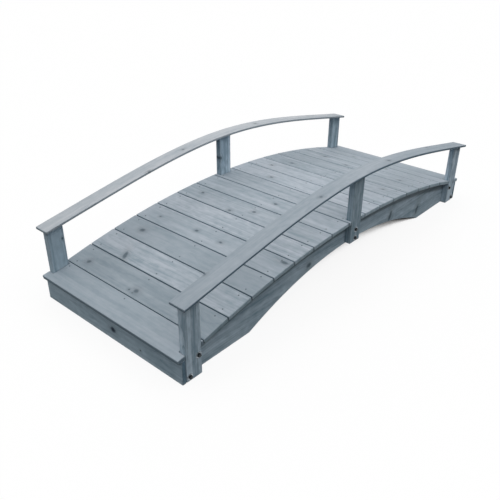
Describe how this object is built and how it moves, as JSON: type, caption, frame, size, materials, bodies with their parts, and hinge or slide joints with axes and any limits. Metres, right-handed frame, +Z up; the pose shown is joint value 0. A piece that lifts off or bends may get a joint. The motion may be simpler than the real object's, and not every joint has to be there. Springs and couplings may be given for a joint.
{
  "type": "garden bridge",
  "caption": "Low arched wooden garden bridge: plank deck on arched stringers, end boards at the ground, short posts and a thin bent handrail along each side.",
  "frame": {"origin": "on the ground, under the middle of the deck", "axes": "+X along the span from the near end to the far end, +Y to the left, +Z up"},
  "size_m": [2.3884, 0.967, 0.5207],
  "materials": {
    "deck_wood": "blue-grey stained softwood, matt",
    "frame_wood": "blue-grey stained softwood, matt",
    "rail_wood": "blue-grey stained softwood, matt"
  },
  "bodies": {
    "root": {"deck_plank_01": "deck_wood", "deck_plank_02": "deck_wood", "deck_plank_03": "deck_wood", "deck_plank_04": "deck_wood", "deck_plank_05": "deck_wood", "deck_plank_06": "deck_wood", "deck_plank_07": "deck_wood", "deck_plank_08": "deck_wood", "deck_plank_09": "deck_wood", "deck_plank_10": "deck_wood", "deck_plank_11": "deck_wood", "deck_plank_12": "deck_wood", "deck_plank_13": "deck_wood", "deck_plank_14": "deck_wood", "deck_plank_15": "deck_wood", "deck_plank_16": "deck_wood", "deck_plank_17": "deck_wood", "left_stringer": "frame_wood", "centre_stringer": "frame_wood", "right_stringer": "frame_wood", "near_end_board": "frame_wood", "far_end_board": "frame_wood", "near_left_post": "frame_wood", "middle_left_post": "frame_wood", "far_left_post": "frame_wood", "near_right_post": "frame_wood", "middle_right_post": "frame_wood", "far_right_post": "frame_wood", "left_handrail": "rail_wood", "right_handrail": "rail_wood"}
  },
  "joints": []
}
